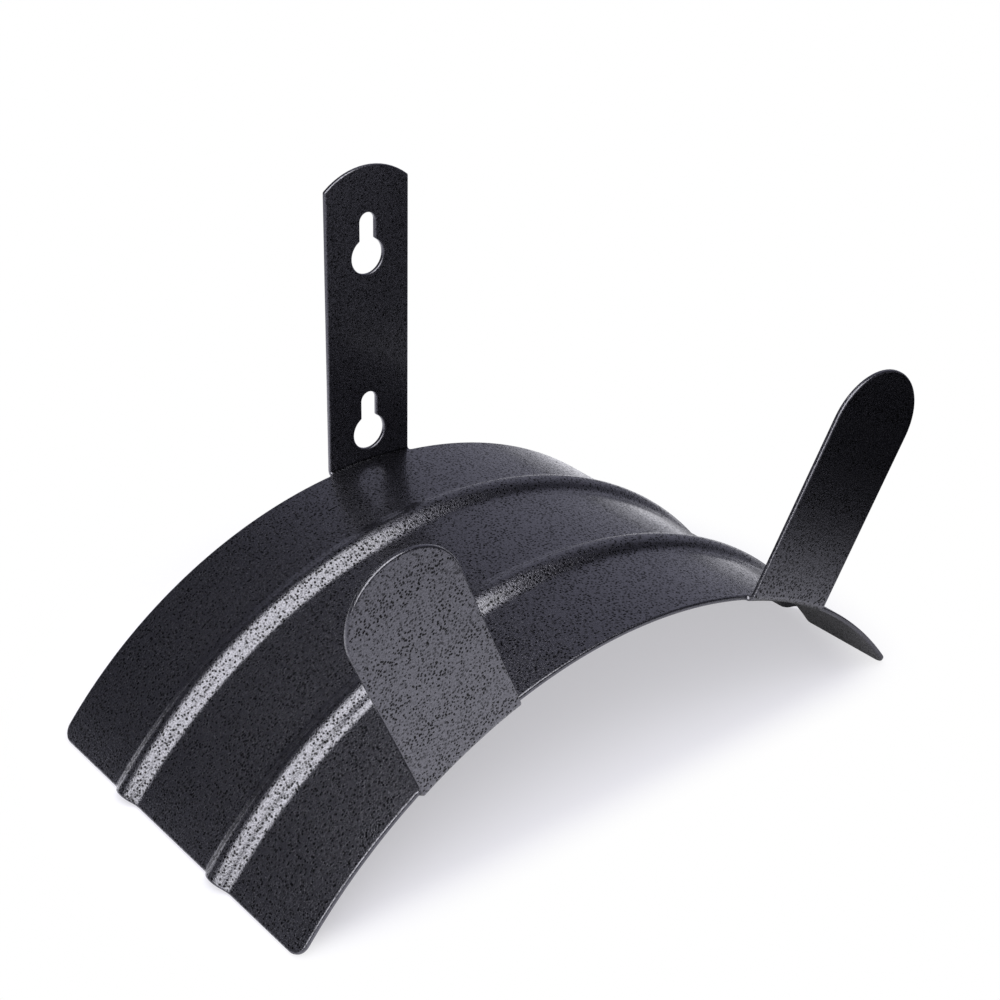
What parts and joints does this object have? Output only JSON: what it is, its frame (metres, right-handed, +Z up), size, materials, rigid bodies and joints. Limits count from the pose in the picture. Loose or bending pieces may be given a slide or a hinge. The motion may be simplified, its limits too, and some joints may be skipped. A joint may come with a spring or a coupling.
{
  "type": "hose hanger",
  "caption": "Arched sheet-steel wall hanger for a garden hose, with a keyholed tongue behind and upright round-ended fingers in front.",
  "frame": {"origin": "on the tongue's back face, which lies on the wall, midway between the round parts of the keyholes", "axes": "+X along the wall, to the right seen from in front; +Y into the wall; +Z up"},
  "size_m": [0.2716, 0.155, 0.1803],
  "materials": {
    "coated_steel": "glossy dark grey hammered coat with fine black speckles"
  },
  "bodies": {
    "root": {"hanger": "coated_steel"}
  },
  "joints": []
}
